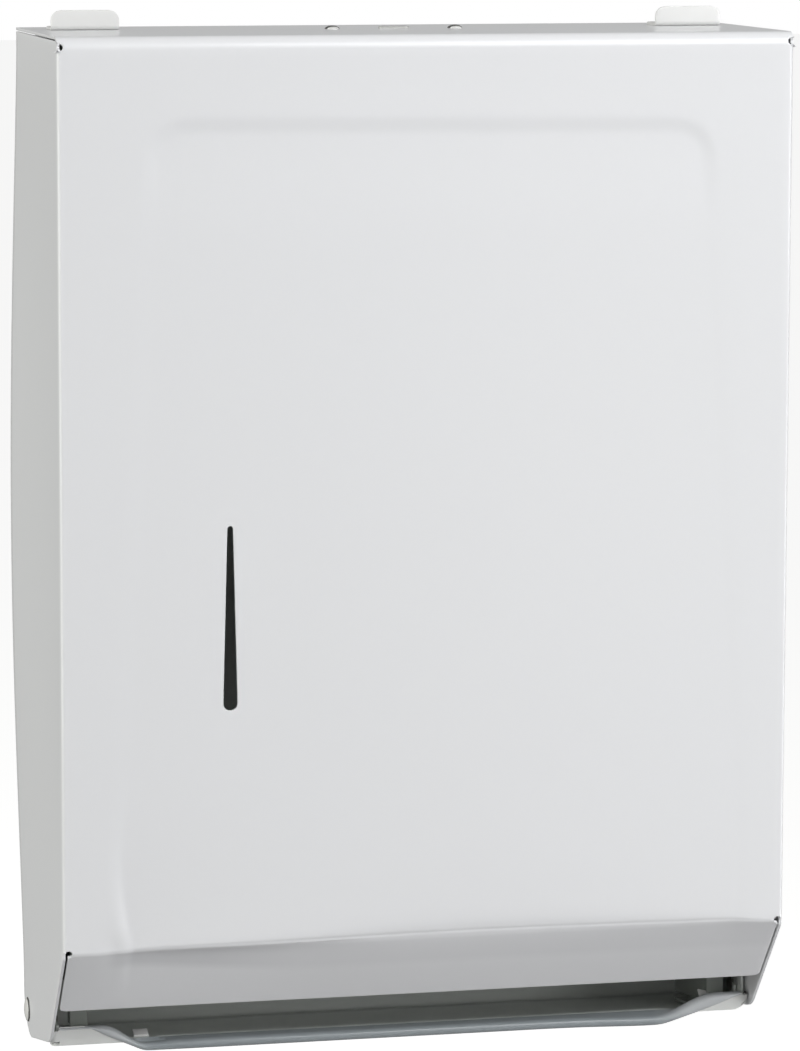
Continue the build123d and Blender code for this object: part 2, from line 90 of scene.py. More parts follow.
def makeObject(name, bm, material, body, smoothAngle):
    mesh = bpy.data.meshes.new(name)
    bm.to_mesh(mesh)
    bm.free()
    piece = bpy.data.objects.new(name, mesh)
    bpy.context.scene.collection.objects.link(piece)
    mesh.materials.append(material)
    mesh.shade_smooth()
    mesh.set_sharp_from_angle(angle=math.radians(smoothAngle))
    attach(piece, body)
    return piece


def addSolidify(piece, thickness):  # grows to the back of the modelled face
    wall = piece.modifiers.new("wall", "SOLIDIFY")
    wall.thickness = thickness * mm
    wall.offset = -1
    wall.use_even_offset = True


def addBevel(piece, width, segments, angle):
    edge = piece.modifiers.new("edge", "BEVEL")
    edge.width = width * mm
    edge.segments = segments
    edge.limit_method = "ANGLE"
    edge.angle_limit = math.radians(angle)
    edge.harden_normals = False


# node helpers
def addNode(tree, kind, **settings):
    node = tree.nodes.new(kind)
    for key, value in settings.items():
        setattr(node, key, value)
    return node


def link(tree, source, target):
    tree.links.new(source, target)


def newGroup(name, ins):
    group = bpy.data.node_groups.new(name, "ShaderNodeTree")
    for label, kind, value in ins:
        socket = group.interface.new_socket(label, in_out="INPUT", socket_type=kind)
        if value is not None:
            socket.default_value = value
    for label, kind in (("Colour", "Color"), ("Roughness", "Float"), ("Height", "Float")):
        group.interface.new_socket(label, in_out="OUTPUT", socket_type="NodeSocket" + kind)
    start = group.nodes.new("NodeGroupInput")
    end = group.nodes.new("NodeGroupOutput")
    return group, start, end


def noise(tree, vector, scale, detail, roughness):
    node = addNode(tree, "ShaderNodeTexNoise")
    node.inputs["Scale"].default_value = scale
    node.inputs["Detail"].default_value = detail
    node.inputs["Roughness"].default_value = roughness
    link(tree, vector, node.inputs["Vector"])
    return node.outputs["Fac"]


def ramp(tree, source, low, high, outLow=0.0, outHigh=1.0):
    node = addNode(tree, "ShaderNodeMapRange")
    node.inputs["From Min"].default_value = low
    node.inputs["From Max"].default_value = high
    node.inputs["To Min"].default_value = outLow
    node.inputs["To Max"].default_value = outHigh
    link(tree, source, node.inputs["Value"])
    return node.outputs["Result"]


def maths(tree, operation, a, b=None):
    node = addNode(tree, "ShaderNodeMath", operation=operation)
    for socket, value in zip(node.inputs, (a, b)):
        if value is None:
            continue
        if isinstance(value, (int, float)):
            socket.default_value = value
        else:
            link(tree, value, socket)
    return node.outputs[0]


def mixColour(tree, factor, a, b):
    node = addNode(tree, "ShaderNodeMix", data_type="RGBA")
    for socket, value in ((node.inputs[0], factor), (node.inputs[6], a), (node.inputs[7], b)):
        if isinstance(value, (int, float, tuple)):
            socket.default_value = value
        else:
            link(tree, value, socket)
    return node.outputs[2]


# shared effects
enamelLook = {
    "noise": (1.0, 0.4),  # detail and roughness
    "cloudScale": 7.0,
    "speckScale": 24.0,
    "speckCells": (0.55, 1.0),  # cells with a lower draw stay clean
    "speckSize": 0.016,
    "speckEdge": 0.006,
    "speckColour": (0.35, 0.35, 0.34, 1),
    "smearScale": 12.0,
    "smear": (-0.02, 0.04),
    "peelScale": 480.0,
    "peel": (0.6, 0.000012),  # strength and depth of the bumps
    "ior": 1.5,
    "coat": 0.4,
    "coatRoughness": 0.12,
}
grainLook = {
    "noise": (3.0, 0.6),  # detail and roughness
    "squeeze": (1.0, 0.06, 1.0),
    "grainScale": 2600.0,
    "blotchScale": 240.0,
    "blotchRange": (0.45, 0.7),
    "blotchRoughness": 0.18,
    "blotchHeight": 0.5,
    "grain": (0.5, 0.00003),  # strength and depth of the bumps
}


def buildEnamelSkin():
    group, start, end = newGroup(
        "enamelSkin",
        [
            ("Vector", "NodeSocketVector", None),
            ("Colour", "NodeSocketColor", (0.8, 0.8, 0.8, 1)),
            ("Tint", "NodeSocketColor", (0.75, 0.74, 0.7, 1)),
            ("Cloud", "NodeSocketFloat", 0.3),
            ("Dust", "NodeSocketFloat", 0.3),
            ("Roughness", "NodeSocketFloat", 0.25),
        ],
    )
    vector = start.outputs["Vector"]
    cloud = noise(group, vector, enamelLook["cloudScale"], *enamelLook["noise"])
    tinted = mixColour(
        group,
        maths(group, "MULTIPLY", cloud, start.outputs["Cloud"]),
        start.outputs["Colour"],
        start.outputs["Tint"],
    )
    speck = addNode(group, "ShaderNodeTexVoronoi", feature="F1")
    speck.inputs["Scale"].default_value = enamelLook["speckScale"]
    link(group, vector, speck.inputs["Vector"])
    rarity = addNode(group, "ShaderNodeSeparateColor")
    link(group, speck.outputs["Color"], rarity.inputs[0])
    size = ramp(group, rarity.outputs[0], *enamelLook["speckCells"], 0.0, enamelLook["speckSize"])
    depth = maths(group, "SUBTRACT", size, speck.outputs["Distance"])
    inside = ramp(group, depth, 0.0, enamelLook["speckEdge"])
    specks = maths(group, "MULTIPLY", inside, start.outputs["Dust"])
    dusty = mixColour(group, specks, tinted, enamelLook["speckColour"])
    link(group, dusty, end.inputs["Colour"])
    smear = noise(group, vector, enamelLook["smearScale"], *enamelLook["noise"])
    smear = ramp(group, smear, 0.0, 1.0, *enamelLook["smear"])
    link(group, maths(group, "ADD", start.outputs["Roughness"], smear), end.inputs["Roughness"])
    height = noise(group, vector, enamelLook["peelScale"], *enamelLook["noise"])
    link(group, height, end.inputs["Height"])
    return group


def buildMetalGrain():
    group, start, end = newGroup(
        "metalGrain",
        [
            ("Vector", "NodeSocketVector", None),
            ("Colour", "NodeSocketColor", (0.6, 0.6, 0.6, 1)),
            ("Stain", "NodeSocketColor", (0.3, 0.28, 0.25, 1)),
            ("Wear", "NodeSocketFloat", 0.4),
            ("Roughness", "NodeSocketFloat", 0.35),
        ],
    )
    vector = start.outputs["Vector"]
    longwise = addNode(group, "ShaderNodeMapping")
    longwise.inputs["Scale"].default_value = grainLook["squeeze"]
    link(group, vector, longwise.inputs["Vector"])
    grain = noise(group, longwise.outputs["Vector"], grainLook["grainScale"], *grainLook["noise"])
    blotch = noise(group, vector, grainLook["blotchScale"], *grainLook["noise"])
    blotch = ramp(group, blotch, *grainLook["blotchRange"])
    worn = maths(group, "MULTIPLY", blotch, start.outputs["Wear"])
    colour = mixColour(group, worn, start.outputs["Colour"], start.outputs["Stain"])
    link(group, colour, end.inputs["Colour"])
    rougher = ramp(group, blotch, 0, 1, 0.0, grainLook["blotchRoughness"])
    link(group, maths(group, "ADD", start.outputs["Roughness"], rougher), end.inputs["Roughness"])
    raised = maths(group, "MULTIPLY", blotch, grainLook["blotchHeight"])
    link(group, maths(group, "ADD", grain, raised), end.inputs["Height"])
    return group


enamelSkin = buildEnamelSkin()
metalGrain = buildMetalGrain()


def makeMaterial(name, group, values, strength, distance):  # the last two are for the group's bumps
    material = bpy.data.materials.new(name)
    material.use_nodes = True
    tree = material.node_tree
    shader = tree.nodes["Principled BSDF"]
    place = addNode(tree, "ShaderNodeTexCoord")
    skin = addNode(tree, "ShaderNodeGroup", node_tree=group)
    link(tree, place.outputs["Object"], skin.inputs["Vector"])
    for label, value in values.items():
        skin.inputs[label].default_value = value
    link(tree, skin.outputs["Colour"], shader.inputs["Base Color"])
    link(tree, skin.outputs["Roughness"], shader.inputs["Roughness"])
    ripple = addNode(tree, "ShaderNodeBump")
    ripple.inputs["Strength"].default_value = strength
    ripple.inputs["Distance"].default_value = distance
    link(tree, skin.outputs["Height"], ripple.inputs["Height"])
    link(tree, ripple.outputs["Normal"], shader.inputs["Normal"])
    return material, shader


def enamel(name, colour, tint, cloud, dust, roughness=0.31):
    values = {
        "Colour": (*colour, 1),
        "Tint": (*tint, 1),
        "Cloud": cloud,
        "Dust": dust,
        "Roughness": roughness,
    }
    material, shader = makeMaterial(name, enamelSkin, values, *enamelLook["peel"])
    shader.inputs["IOR"].default_value = enamelLook["ior"]
    shader.inputs["Coat Weight"].default_value = enamelLook["coat"]
    shader.inputs["Coat Roughness"].default_value = enamelLook["coatRoughness"]
    return material


def metal(name, colour, stain, wear, roughness):
    values = {"Colour": (*colour, 1), "Stain": (*stain, 1), "Wear": wear, "Roughness": roughness}
    material, shader = makeMaterial(name, metalGrain, values, *grainLook["grain"])
    shader.inputs["Metallic"].default_value = 1.0
    return material


def skinAndPlace(material):  # the skin node, and the place on the object as X, Y and Z
    tree = material.node_tree
    skin = next(node for node in tree.nodes if node.type == "GROUP")
    place = next(node for node in tree.nodes if node.type == "TEX_COORD")
    parts = addNode(tree, "ShaderNodeSeparateXYZ")
    link(tree, place.outputs["Object"], parts.inputs[0])
    return tree, skin, parts.outputs


def paintLightAtEnds(material, start, finish, colour):  # painted light: paler towards both ends of a long piece, standing in for the brighter shading of the tray's slanted roll ends
    tree, skin, parts = skinAndPlace(material)
    amount = ramp(tree, maths(tree, "ABSOLUTE", parts["X"]), start, finish)
    base = tuple(skin.inputs["Colour"].default_value)
    link(tree, mixColour(tree, amount, base, (*colour, 1)), skin.inputs["Colour"])


# painted shade under the cover's lower bend: where the darkened strip lies and how dark it is
foldShadeStrip = {  # in metres; four numbers are from, to, value at from, value at to
    "foldZ": -0.140,
    "leftEnd": (-0.121, -0.112),
    "rightward": (-0.081, -0.048, 1.0, 0.38),
    "sides": (0.1338, 0.1348, 1.0, 0.0),
    "narrowing": (-0.110, -0.050, 0.0, 0.005),
    "upperEdge": 0.0012,
    "lowerEdge": (0.0078, 0.0046),
    "amount": 0.3,
    "tone": (0.5, 0.5, 0.52),
}


def paintFoldShade(material):  # painted shade: a darker strip under the cover's lower bend, most of all at the left, standing in for a darker reflection there
    tree, skin, parts = skinAndPlace(material)
    x, z, foldZ = parts["X"], parts["Z"], foldShadeStrip["foldZ"]
    low = maths(tree, "ADD", z, ramp(tree, x, *foldShadeStrip["narrowing"]))
    faint, clear = foldShadeStrip["lowerEdge"]
    limits = (
        ramp(tree, x, *foldShadeStrip["leftEnd"]),
        ramp(tree, x, *foldShadeStrip["rightward"]),
        ramp(tree, maths(tree, "ABSOLUTE", x), *foldShadeStrip["sides"]),
        ramp(tree, z, foldZ - foldShadeStrip["upperEdge"], foldZ, 1.0, 0.0),
        ramp(tree, low, foldZ - faint, foldZ - clear),
    )
    amount = foldShadeStrip["amount"]
    for limit in limits:
        amount = maths(tree, "MULTIPLY", limit, amount)
    base = tuple(skin.inputs["Colour"].default_value)
    shadedColour = tuple(b * tone for b, tone in zip(base, foldShadeStrip["tone"])) + (1,)
    link(tree, mixColour(tree, amount, base, shadedColour), skin.inputs["Colour"])


coverEnamel = enamel("coverEnamel", (0.80, 0.805, 0.815), (0.78, 0.778, 0.77), cloud=0.25, dust=0.5)
paintFoldShade(coverEnamel)
tabEnamel = enamel("tabEnamel", (0.80, 0.80, 0.785), (0.74, 0.735, 0.715), cloud=0.4, dust=0.2)
# the rolled edge's dark slate tone is partly its own colour and partly painted shade
trayEnamel = enamel(
    "trayEnamel", (0.30, 0.333, 0.348), (0.25, 0.27, 0.28), cloud=0.4, dust=0.3, roughness=0.34
)
# painted light on the slanted ends of the rolled edge
paintLightAtEnds(trayEnamel, 0.097, 0.112, (0.58, 0.60, 0.61))
# the towel guides' dark grey-green is painted shade, darker than the pan's enamel because their front edges
# catch direct light
paintedShadeGuideEnamel = enamel("paintedShadeGuideEnamel", (0.31, 0.335, 0.31), (0.26, 0.27, 0.24), cloud=0.5, dust=0.3)
panEnamel = enamel("panEnamel", (0.80, 0.84, 0.80), (0.72, 0.74, 0.70), cloud=0.6, dust=0.2)
plateEnamel = enamel("plateEnamel", (0.72, 0.73, 0.715), (0.65, 0.65, 0.62), cloud=0.5, dust=0.2)
# near-black enamel used only as painted shade: under the hinge heads, round the latch heads, inside the key
# slot and on the plates' turned-back hem
paintedShadowEnamel = enamel(
    "paintedShadowEnamel", (0.08, 0.08, 0.075), (0.05, 0.05, 0.04), cloud=0.5, dust=0.0, roughness=0.6
)
# darker grey for the key slot's rim: painted shade, as the rim faces the lamps more than the top does
paintedShadeRimEnamel = enamel("paintedShadeRimEnamel", (0.54, 0.54, 0.52), (0.44, 0.44, 0.42), cloud=0.5, dust=0.2)
rivetEnamel = enamel("rivetEnamel", (0.76, 0.76, 0.74), (0.6, 0.58, 0.54), cloud=0.6, dust=0.2)
dullSteel = metal("dullSteel", (0.55, 0.54, 0.50), (0.30, 0.29, 0.26), wear=0.6, roughness=0.38)
springSteel = metal("springSteel", (0.48, 0.49, 0.50), (0.22, 0.22, 0.22), wear=0.5, roughness=0.3)
washerSteel = metal("washerSteel", (0.60, 0.60, 0.58), (0.36, 0.34, 0.30), wear=0.4, roughness=0.35)
print("materials ready")

# cover, folded from one flat blank
cover = {
    "halfWidth": 136.5,
    "frontY": -102.0,
    "backY": -0.5,
    "topZ": 193.0,
    "bendZ": -140.0,
    "sheet": 1.0,
    "sideBend": 1.5,
    "topBend": 5.0,
    "lowerBend": 2.5,
    "flangeTilt": 41.0,
    "flangeLength": 35.0,
    "flangeHalf": 134.7,
    "cheekLength": 55.0,
    "toeRadius": 15.0,
    "heelSlope": math.radians(12.0),
    "heelRadius": 17.0,
    "flangeCorner": 2.2,
    "lowestRow": -66.0,
    "reliefs": ((135.7, 1.6), (134.6, -0.6)),  # across; up from the top bend's start, from the front's foot
    "reliefRadius": 1.45,
    "sightSlot": (-74.4, 154.2, 90.1),  # across, upper and lower centre
    "sightRadii": (1.1, 2.7),  # upper, lower
    "keyY": -40.0,
    "keyHalf": 4.0,
    "keyRadius": 1.3,
    "softBend": (0.3, 5.5, 20, 66, 84),  # least and most reach, middle, width left and right of it
    "softEnds": (134.7, -25),  # start and run of a fade, as in all fades below
    "softFades": (34, -22),
    "bendLift": 1.2,
    "liftFades": ((-126, 30), (137, -22)),
    "liftRuns": (7.0, 10.0),  # above the bend, below it
    "dentEnds": (134.0, -8.0),
    "flangeHold": (-26.0, 22.0),
    "topLimit": 326,
    "frontLimit": 26,
    "sideBow": 3.6,
    "bowRise": (30.0, 355.0),  # start below the bend, height over which it bows
}
tiltAngle = math.radians(cover["flangeTilt"])
sideBend = cover["sideBend"]
flatHalf = cover["halfWidth"] - sideBend
bentHalf = flatHalf + sideBend * math.pi / 2
sideReach = cover["backY"] - (cover["frontY"] + sideBend)
tangentRun = cover["lowerBend"] * math.tan(tiltAngle / 2)
frontFoot = cover["bendZ"] + tangentRun  # height of the front where the lower bend begins
frontTop = cover["topZ"] - cover["topBend"] - frontFoot  # blank rows: 0 at the front's foot
bendTop = frontTop + cover["topBend"] * math.pi / 2
topEnd = bendTop + (cover["backY"] - cover["frontY"] - cover["topBend"])
flangeBend = cover["lowerBend"] * tiltAngle
flangeEnd = flangeBend + cover["flangeLength"] - tangentRun
sideTop = cover["topZ"] - cover["sheet"] - 0.1 - frontFoot


def capsule(p, a, b, ra, rb):  # signed distance to the outline of a tapered slot with round ends
    along = (b - a).normalized()
    t = max(0.0, min(1.0, (p - a).dot(along) / (b - a).length))
    return (p - a.lerp(b, t)).length - (ra + (rb - ra) * t)


def punch(bm, outline, reach, cuts, grip):  # a hole in a mesh made finer near its outline
    near = [e for e in bm.edges if min(outline(v.co) for v in e.verts) < reach]
    bmesh.ops.subdivide_edges(bm, edges=near, cuts=cuts, use_grid_fill=True)
    inside = [f for f in bm.faces if outline(f.calc_center_median()) < 0]
    bmesh.ops.delete(bm, geom=inside, context="FACES")
    step = 0.01
    for v in bm.verts:
        if v.is_boundary and abs(outline(v.co)) < grip:
            for _ in range(4):
                d = outline(v.co)
                across = outline(v.co + Vector((step, 0, 0))) - d
                up = outline(v.co + Vector((0, step, 0))) - d
                slope = Vector((across, up, 0)) / step
                if slope.length > 1e-6:
                    v.co -= slope * (d / slope.length_squared)


def coverBlank():
    half = cover["halfWidth"]
    halfLines = stretch(
        (0, 93, 3.1),
        (93, 127, 1.0),
        (127, flatHalf, 1.6),
        (flatHalf, half, 0.38),
        (half, bentHalf, 0.43),
        (bentHalf, bentHalf + sideReach, 4.0),
    )
    columns = [-u for u in reversed(halfLines[1:])] + halfLines
    rows = stretch(
        (cover["lowestRow"], -flangeEnd, 3.0),
        (-flangeEnd, -flangeEnd + cover["flangeCorner"], 0.44),
        (-flangeEnd + cover["flangeCorner"], -12, 2.4),
        (-12, -5, 0.9),
        (-5, 6, 0.36),
        (6, 30, 1.2),
        (30, 286, 3.0),
        (286, 306, 1.0),
        (306, frontTop, 2.6),
        (frontTop, bendTop, 0.9),
        (bendTop, topEnd, 4.0),
    )
    bm = bmesh.new()
    bmesh.ops.create_grid(bm, x_segments=len(columns) - 1, y_segments=len(rows) - 1, size=1.0)
    for v in bm.verts:
        v.co.x = columns[round((v.co.x + 1) / 2 * (len(columns) - 1))]
        v.co.y = rows[round((v.co.y + 1) / 2 * (len(rows) - 1))]

    def outside(c):  # corners that are cut off the blank
        u, v = abs(c.x), c.y
        if v < 0:
            return (flatHalf - 2 < u < bentHalf) or (u < bentHalf and v < -flangeEnd)
        if v > frontTop:
            return (cover["halfWidth"] < u < bentHalf) or (u > bentHalf and v > sideTop)
        return False

    return bm, outside


def foldPoint(u, v):  # across and up on the blank, to a place on the folded sheet
    side = 1 if u >= 0 else -1
    u = abs(u)
    front, bendRadius = cover["frontY"], cover["topBend"]
    if u > flatHalf and not (v > frontTop and u <= cover["halfWidth"] + 0.01):
        if u < bentHalf:
            a = (u - flatHalf) / sideBend
            x, y = flatHalf + sideBend * math.sin(a), front + sideBend * (1 - math.cos(a))
            return Vector((side * x, y, frontFoot + v))
        return Vector((side * cover["halfWidth"], front + sideBend + (u - bentHalf), frontFoot + v))
    if v < -flangeBend:
        run = -v - flangeBend + tangentRun
        z = cover["bendZ"] - run * math.cos(tiltAngle)
        return Vector((side * u, front + run * math.sin(tiltAngle), z))
    if v < 0:
        a, r = -v / cover["lowerBend"], cover["lowerBend"]
        return Vector((side * u, front + r * (1 - math.cos(a)), frontFoot - r * math.sin(a)))
    if v < frontTop:
        return Vector((side * u, front, frontFoot + v))
    if v < bendTop:
        a = (v - frontTop) / bendRadius
        z = cover["topZ"] - bendRadius * (1 - math.sin(a))
        return Vector((side * u, front + bendRadius * (1 - math.cos(a)), z))
    return Vector((side * u, front + bendRadius + (v - bendTop), cover["topZ"]))


recess = {
    "depth": (0.28, 0.75),  # low down, near the top
    "deepening": (262.0, 34.0),  # start and run
    "step": 7.0,
    "corner": 12.0,
    "taperTop": 301.0,
    "left": (102.0, 0.0545, 6.0),  # edge at the top, taper, flare at the foot
    "right": (104.0, 0.064, 2.0),
    "top": (300.5, 0.0102),  # height above the bend, tilt
    "foot": (41.0, 38.0),  # where the flare begins, height over which it grows
    "lowest": 3.2,
    "biteEdge": (4.0, 5.5),  # start outside the edge, run inwards
    "biteReach": (1.5, 26.0),  # start inside the edge, reach
    "biteHeight": (62, -52),
}


def recessDepthAt(x, z):  # z above the lower bend
    foot = max(0.0, recess["foot"][0] - z) / recess["foot"][1]
    rise = recess["taperTop"] - z
    edge, taper, flare = recess["left"]
    left = x + edge + rise * taper - flare * foot * foot
    edge, taper, flare = recess["right"]
    right = edge + rise * taper - flare * foot * foot - x
    top = recess["top"][0] - recess["top"][1] * x - z
    corner = recess["corner"]
    inside = min(left, right, top)
    for a in (left, right):
        if a < corner and top < corner:
            inside = min(inside, corner - math.hypot(corner - a, corner - top))
    shallow, deep = recess["depth"]
    depth = shallow + (deep - shallow) * fade(z, *recess["deepening"])
    # the press bites deeper at the lower left
    run = max(0.0, min(1.0, (left + recess["biteEdge"][0]) / recess["biteEdge"][1]))
    start, reach = recess["biteReach"]
    bite = run**2 * math.exp(-max(0.0, left - start) / reach) * fade(z, *recess["biteHeight"])
    return depth * smoothStep(inside / recess["step"] + 0.5) + bite


dents = (  # inward depth, then centre and width across, then centre and width upwards
    (0.30, (-60, 38), (70, 60)),
    (-0.45, (5, 85), (95, 90)),
    (0.20, (70, 50), (210, 80)),
    (-0.22, (-90, 22), (120, 70)),
)
dimple = {"depth": 0.85, "across": (-117.5, 4.8), "height": (9.5, -9.5)}


def dentAt(x, z):  # gentle unevenness of the pressed sheet, positive is inward
    dent = 0.0
    for depth, across, upward in dents:
        dent += depth * bump(x, *across) * bump(z, *upward)
    return dent + dimple["depth"] * bump(x, *dimple["across"]) * fade(z, *dimple["height"])


band = {
    "run": 5.6,
    "dip": 0.95,
    "start": (118, 20),  # distance to the left of the middle, run
    "soft": 0.3,
    "length": 38.0,
    "stripFade": (-18, -62),
    "foldDip": 0.34,
    "foldStart": 1.3,
    "foldEnd": (34, -30),
    "foldFade": (-20, -40),
    "crown": (0.12, 2.4, 0.7),  # height, place, width
    "crownFade": (-55, -30),
    "ends": ((-121, 12), (134, -10)),
}


def bandAt(x, along):  # fold line of the flange, with a steeper strip below it at the left
    begin, growth = band["start"]
    run = band["run"] * max(0.02, min(1.0, (x + begin) / growth))
    dip = band["dip"] * run / band["run"]
    soft = band["soft"]
    past = max(0.0, along - run)
    if abs(along - run) < 10 * soft:
        past = math.log(1 + math.exp((along - run) / soft)) * soft
    slope = dip / run
    strip = (slope * along - (slope + dip / (band["length"] - run)) * past) * fade(x, *band["stripFade"])
    fold = band["foldDip"] * smoothStep(along / band["foldStart"])
    fold = fold * fade(along, *band["foldEnd"]) * fade(x, *band["foldFade"])
    height, place, width = band["crown"]
    crown = height * bump(along, place, width) * fade(x, *band["crownFade"])
    leftEnd, rightEnd = band["ends"]
    return fade(x, *leftEnd) * (strip + (fold - crown) * fade(x, *rightEnd))


def softenBend(co, h):  # the lower bend is sharp at both ends and broad in the middle
    along = h if h > 0 else h / math.cos(tiltAngle)
    least, most, middle, leftWidth, rightWidth = cover["softBend"]
    width = leftWidth if co.x < middle else rightWidth
    reach = least + most * bump(co.x, middle, width) * fade(abs(co.x), *cover["softEnds"])
    inward = (math.hypot(along, reach) - abs(along)) * math.tan(tiltAngle / 2)
    inward = inward * fade(abs(along), *cover["softFades"])
    co.y += inward * math.cos(tiltAngle / 2)
    co.z += inward * math.sin(tiltAngle / 2)


def shapeCover(co):
    x, y, z = co
    h = z - cover["bendZ"]
    half, front = cover["halfWidth"], cover["frontY"]
    if abs(x) > half - 0.01 and y > front + sideBend - 0.01:  # side walls bow out at their free edges
        depth = (y - front) / -front
        below, span = cover["bowRise"]
        rise = max(0.0, min(1.0, (h + below) / span))
        bow = cover["sideBow"] * depth**1.6 * math.sin(math.pi * rise) ** 1.2
        co.x += math.copysign(bow, x)
        return
    if y > front + cover["frontLimit"] or h > cover["topLimit"]:
        return
    edge = fade(abs(x), *cover["dentEnds"])
    fromLeft, fromRight = cover["liftFades"]
    lift = cover["bendLift"] * fade(x, *fromLeft) * fade(x, *fromRight)
    above, below = cover["liftRuns"]
    lowest = recess["lowest"]
    if h > -1.0:
        co.y += recessDepthAt(x, max(h, lowest)) + dentAt(x, max(h, 0.0)) * edge
        co.z += lift * bump(h, 0, above)
    else:  # the flange takes over the panel's offset and loses it towards its free edge
        hold = fade(h, *cover["flangeHold"])
        co.y += (recessDepthAt(x, lowest) + dentAt(x, 0) * edge) * hold
        co.z += lift * bump(h, 0, below)
        groove = bandAt(x, -h / math.cos(tiltAngle))
        co.y += groove * math.cos(tiltAngle)
        co.z += groove * math.sin(tiltAngle)
    softenBend(co, h)


def cheekCuts():  # (normal angle, arc centre, radius) of every trimming plane, in the YZ plane
    length, fall = cover["cheekLength"], cover["heelSlope"]
    toe = (
        cover["frontY"] + length * math.sin(tiltAngle),
        cover["bendZ"] - length * math.cos(tiltAngle),
    )
    front, bottom, rear = -math.pi / 2 - (math.pi / 2 - tiltAngle), -math.pi / 2 - fall, 0.0
    cuts = []
    corners = (
        (front, toe, bottom, toe, cover["toeRadius"], 7),
        (bottom, toe, rear, (cover["backY"], 0.0), cover["heelRadius"], 9),
    )
    for first, p, second, q, radius, count in corners:
        a, b = (math.cos(first), math.sin(first)), (math.cos(second), math.sin(second))
        da = a[0] * p[0] + a[1] * p[1] - radius
        db = b[0] * q[0] + b[1] * q[1] - radius
        det = a[0] * b[1] - a[1] * b[0]
        centre = ((da * b[1] - db * a[1]) / det, (db * a[0] - da * b[0]) / det)
        cuts += [(first + (second - first) * i / count, centre, radius) for i in range(count + 1)]
    return cuts


def makeCover():
    bm, outside = coverBlank()
    doomed = [f for f in bm.faces if outside(f.calc_center_median())]
    bmesh.ops.delete(bm, geom=doomed, context="FACES")
    for v in bm.verts:  # flange ends stand clear of the side walls
        if v.co.y < -0.01 and abs(v.co.x) < flatHalf and abs(v.co.x) > flatHalf - 3 and v.is_boundary:
            corner = cover["flangeCorner"]
            past = corner - min(corner, v.co.y + flangeEnd)
            inset = corner - math.sqrt(max(0.0, corner**2 - past**2))
            v.co.x = math.copysign(cover["flangeHalf"] - inset, v.co.x)
    (topX, topRise), (lowX, lowRise) = cover["reliefs"]
    for s in (-1, 1):
        for u, v in ((topX, frontTop + topRise), (lowX, lowRise)):
            centre = Vector((s * u, v, 0))
            punch(bm, lambda p, c=centre: (p - c).length - cover["reliefRadius"], 1.2, 2, 0.5)
    slotX, slotTop, slotFoot = cover["sightSlot"]
    slot = (Vector((slotX, slotTop, 0)), Vector((slotX, slotFoot, 0)))
    punch(bm, lambda p: capsule(p, *slot, *cover["sightRadii"]), 2.0, 3, 0.7)
    keyRow = bendTop + (cover["keyY"] - cover["frontY"] - cover["topBend"])
    key = (Vector((-cover["keyHalf"], keyRow, 0)), Vector((cover["keyHalf"], keyRow, 0)))
    punch(bm, lambda p: capsule(p, *key, cover["keyRadius"], cover["keyRadius"]), 2.0, 4, 0.7)
    for v in bm.verts:
        v.co = foldPoint(v.co.x, v.co.y)
    # trim the side walls' lower ends: slanted front edge, rounded toe, sloping bottom, rounded heel
    for angle, reach, away in cheekCuts():
        normal = (math.cos(angle), math.sin(angle))
        y, z = reach[0] + away * normal[0], reach[1] + away * normal[1]
        walls = [f for f in bm.faces if min(abs(v.co.x) for v in f.verts) > cover["halfWidth"] - 0.01]
        wallEdges = list({e for f in walls for e in f.edges})
        geom = walls + wallEdges + list({v for f in walls for v in f.verts})
        bmesh.ops.bisect_plane(
            bm, geom=geom, dist=1e-4, plane_co=(0, y, z), plane_no=(0, *normal), clear_outer=True
        )
    loose = [v for v in bm.verts if not v.link_faces]
    bmesh.ops.delete(bm, geom=loose, context="VERTS")
    for v in bm.verts:
        shapeCover(v.co)
    toMetres(bm)
    turnOutward(bm, (0, -0.102, 0.05), (0, -1, 0))
    shell = makeObject("coverSkin", bm, coverEnamel, "cover", 35)
    addSolidify(shell, cover["sheet"])
    addBevel(shell, 0.25, 2, 60)
    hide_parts("cover_shell")
    return shell


coverSkin = makeCover()
print("cover folded:", len(coverSkin.data.polygons), "faces")

# towel tray: sloping floor with a rolled front edge, flat plates at its ends
tray = {
    "floorHalf": 132.2,
    "rearY": -2.3,
    "frontY": -61.8,
    "frontBelow": 42.4,
    "slope": 7.0,
    "rearRadius": 11.0,
    "rearRise": 15.0,
    "rollY": -63.4,
    "rollReach": (1.7, 2.6),  # at the ends, in the middle
    "rollBack": 0.9,
    "crestBelow": (43.0, 36.4),  # in the middle, at the ends
    "creaseBelow": 46.6,
    "creaseSag": (0.8, 97, 22),  # amount, place, width
    "creaseSoft": 0.4,
    "ends": {  # crest rises from, to; the crease's point and climb
        -1: (100.5, 116.5, 122.5, 0.47),
        1: (98.5, 122.0, 135.4, 0.32),
    },
    "droop": {-1: (0.7, 100.0, 10.0), 1: (0.8, 97.0, 22.0)},  # amount, place, width
    "rollEnd": math.radians(-50),
    "hemEnd": math.radians(-125),
    "plateY": -64.5,
    "plateHalf": 135.4,
    "plateTop": 36.2,
    "plateBottom": 43.3,
    "plateBend": 1.8,
    "plateReturn": 5.6,
    "plateHem": 2.6,
    "plateCorner": 4.5,
    "plateLevels": (0.0, 0.2, 0.4, 0.58, 0.74, 0.93, 1.0),
    "hem": (126, 136.0),  # from, to
    "rightCorner": 6.8,
    "notch": (132.9, 1.5, 1.2),  # place, drop, radius of its shoulder
    "slit": (0.74, -0.6, 3.0),  # level, start and end from the notch
    "slitTurn": (0.58, 2.4, 3.0),  # the same three
}


